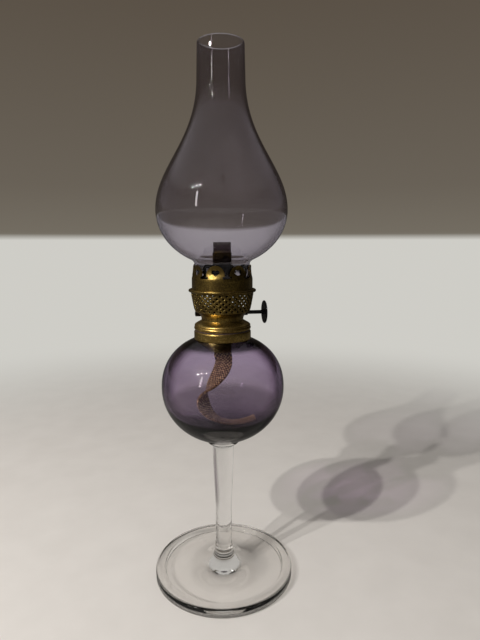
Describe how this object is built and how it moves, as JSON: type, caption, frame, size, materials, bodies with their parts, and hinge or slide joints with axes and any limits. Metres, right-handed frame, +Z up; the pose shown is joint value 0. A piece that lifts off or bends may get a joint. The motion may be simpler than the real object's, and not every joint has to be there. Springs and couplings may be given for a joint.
{
  "type": "kerosene lamp",
  "caption": "Table lamp for liquid fuel: glass foot, stem and globe font, a screw-in brass flat-wick burner with a pierced leaf crown and winding knob, and a bulb-shaped glass chimney.",
  "frame": {"origin": "on the table, at the centre of the ring that the foot rests on", "axes": "+Z up along the lamp's axis, +X along the wick spindle towards its knob, -Y towards the front, the side away from the spindle"},
  "size_m": [0.103, 0.103, 0.3774],
  "materials": {
    "clear_glass": "fire-polished, clear",
    "amethyst_glass": "fire-polished, smoky violet",
    "chimney_glass": "fire-polished, faintly grey-violet",
    "brass": "aged, half bright",
    "dark_brass": "sooty and dull",
    "black_steel": "blackened, half dull",
    "bare_steel": "stamped, dull",
    "wick_cotton": "flat woven cotton, brown with fuel",
    "plaster": "cast plaster",
    "washer": "dark, oiled"
  },
  "bodies": {
    "lamp_base": {"foot": "clear_glass", "stem": "clear_glass", "merese": "clear_glass", "font": "amethyst_glass", "collar_cement": "plaster", "collar": "brass"},
    "gasket": {"burner_gasket": "washer"},
    "burner": {"burner_base": "brass", "base_floor": "brass", "air_basket": "brass", "gallery_ring": "brass", "gallery_crown": "brass", "diffuser": "brass", "wick_tube": "dark_brass", "sprocket_box": "brass", "spindle_gland": "brass", "spindle_end_bush": "brass"},
    "winder": {"spindle": "black_steel", "wick_sprockets": "bare_steel", "knob_disc": "black_steel", "knob_hub": "black_steel"},
    "wick": {"wick": "wick_cotton", "wick_tail": "wick_cotton"},
    "chimney": {"chimney": "chimney_glass"}
  },
  "joints": [
    {"name": "burner_rise", "type": "slide", "parent": "lamp_base", "child": "gasket", "axis": [0, 0, 1], "range_m": [0, 0.0069]},
    {"name": "burner_turn", "type": "hinge", "parent": "gasket", "child": "burner", "pos_m": [0, 0, 0.1884], "axis": [0, 0, 1], "range_deg": [0, 990]},
    {"name": "winder_turn", "type": "hinge", "parent": "burner", "child": "winder", "pos_m": [0, 0.00405, 0.1992], "axis": [-1, 0, 0], "range_deg": [-180, 145]},
    {"name": "wick_rise", "type": "slide", "parent": "burner", "child": "wick", "axis": [0, 0, 1], "range_m": [-0.0097, 0.0078], "deforming": ["wick_tail"]},
    {"name": "chimney_lift", "type": "slide", "parent": "burner", "child": "chimney", "axis": [0, 0, 1], "range_m": [0, 0.045]}
  ],
  "couplings": [
    {"joint": "burner_rise", "follows": "burner_turn", "m_per_rad": 0.00039789},
    {"joint": "winder_turn", "follows": "wick_rise", "rad_per_m": 322.58}
  ]
}
